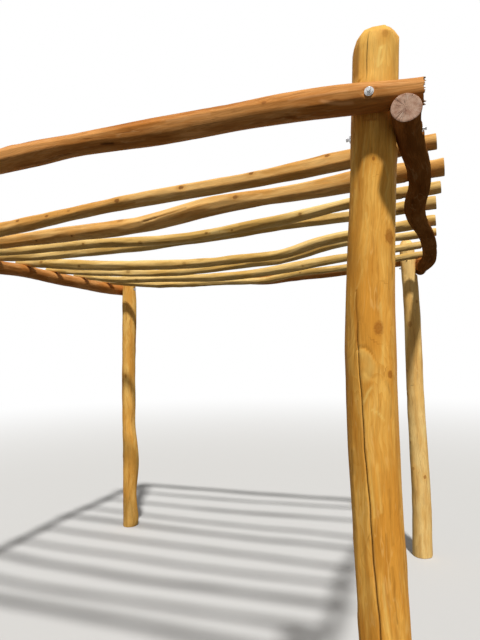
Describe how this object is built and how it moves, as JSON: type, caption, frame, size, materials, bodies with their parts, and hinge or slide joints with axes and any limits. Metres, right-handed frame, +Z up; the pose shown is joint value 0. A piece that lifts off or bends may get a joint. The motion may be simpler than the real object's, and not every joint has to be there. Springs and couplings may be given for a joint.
{
  "type": "pergola",
  "caption": "Open garden pergola of peeled crooked logs: upright posts, side beams bolted to them, a front and a back beam, and thin rafters laid across as an open roof.",
  "frame": {"origin": "middle of the four posts' feet at ground level", "axes": "+X left to right along the rafters, +Y from the front beam to the back beam, +Z up"},
  "size_m": [2.948, 2.9561, 2.538],
  "materials": {
    "post_wood": "oiled peeled log, honey",
    "beam_wood": "oiled peeled log, red-brown",
    "front_rafter_wood": "oiled peeled log, orange",
    "rafter_wood": "oiled peeled log, straw",
    "zinc": "bright zinc plate"
  },
  "bodies": {
    "root": {"back_beam": "beam_wood", "bolt_far_left_end": "zinc", "bolt_far_left_side": "zinc", "bolt_far_right_end": "zinc", "bolt_far_right_side": "zinc", "bolt_near_left_end": "zinc", "bolt_near_left_side": "zinc", "bolt_near_right_end": "zinc", "bolt_near_right_side": "zinc", "far_left_post": "post_wood", "far_right_post": "post_wood", "front_beam": "beam_wood", "left_beam": "beam_wood", "near_left_post": "post_wood", "near_right_post": "post_wood", "rafter_1": "front_rafter_wood", "rafter_2": "front_rafter_wood", "rafter_3": "rafter_wood", "rafter_4": "rafter_wood", "rafter_5": "rafter_wood", "rafter_6": "rafter_wood", "rafter_7": "rafter_wood", "rafter_8": "rafter_wood", "right_beam": "beam_wood"}
  },
  "joints": []
}
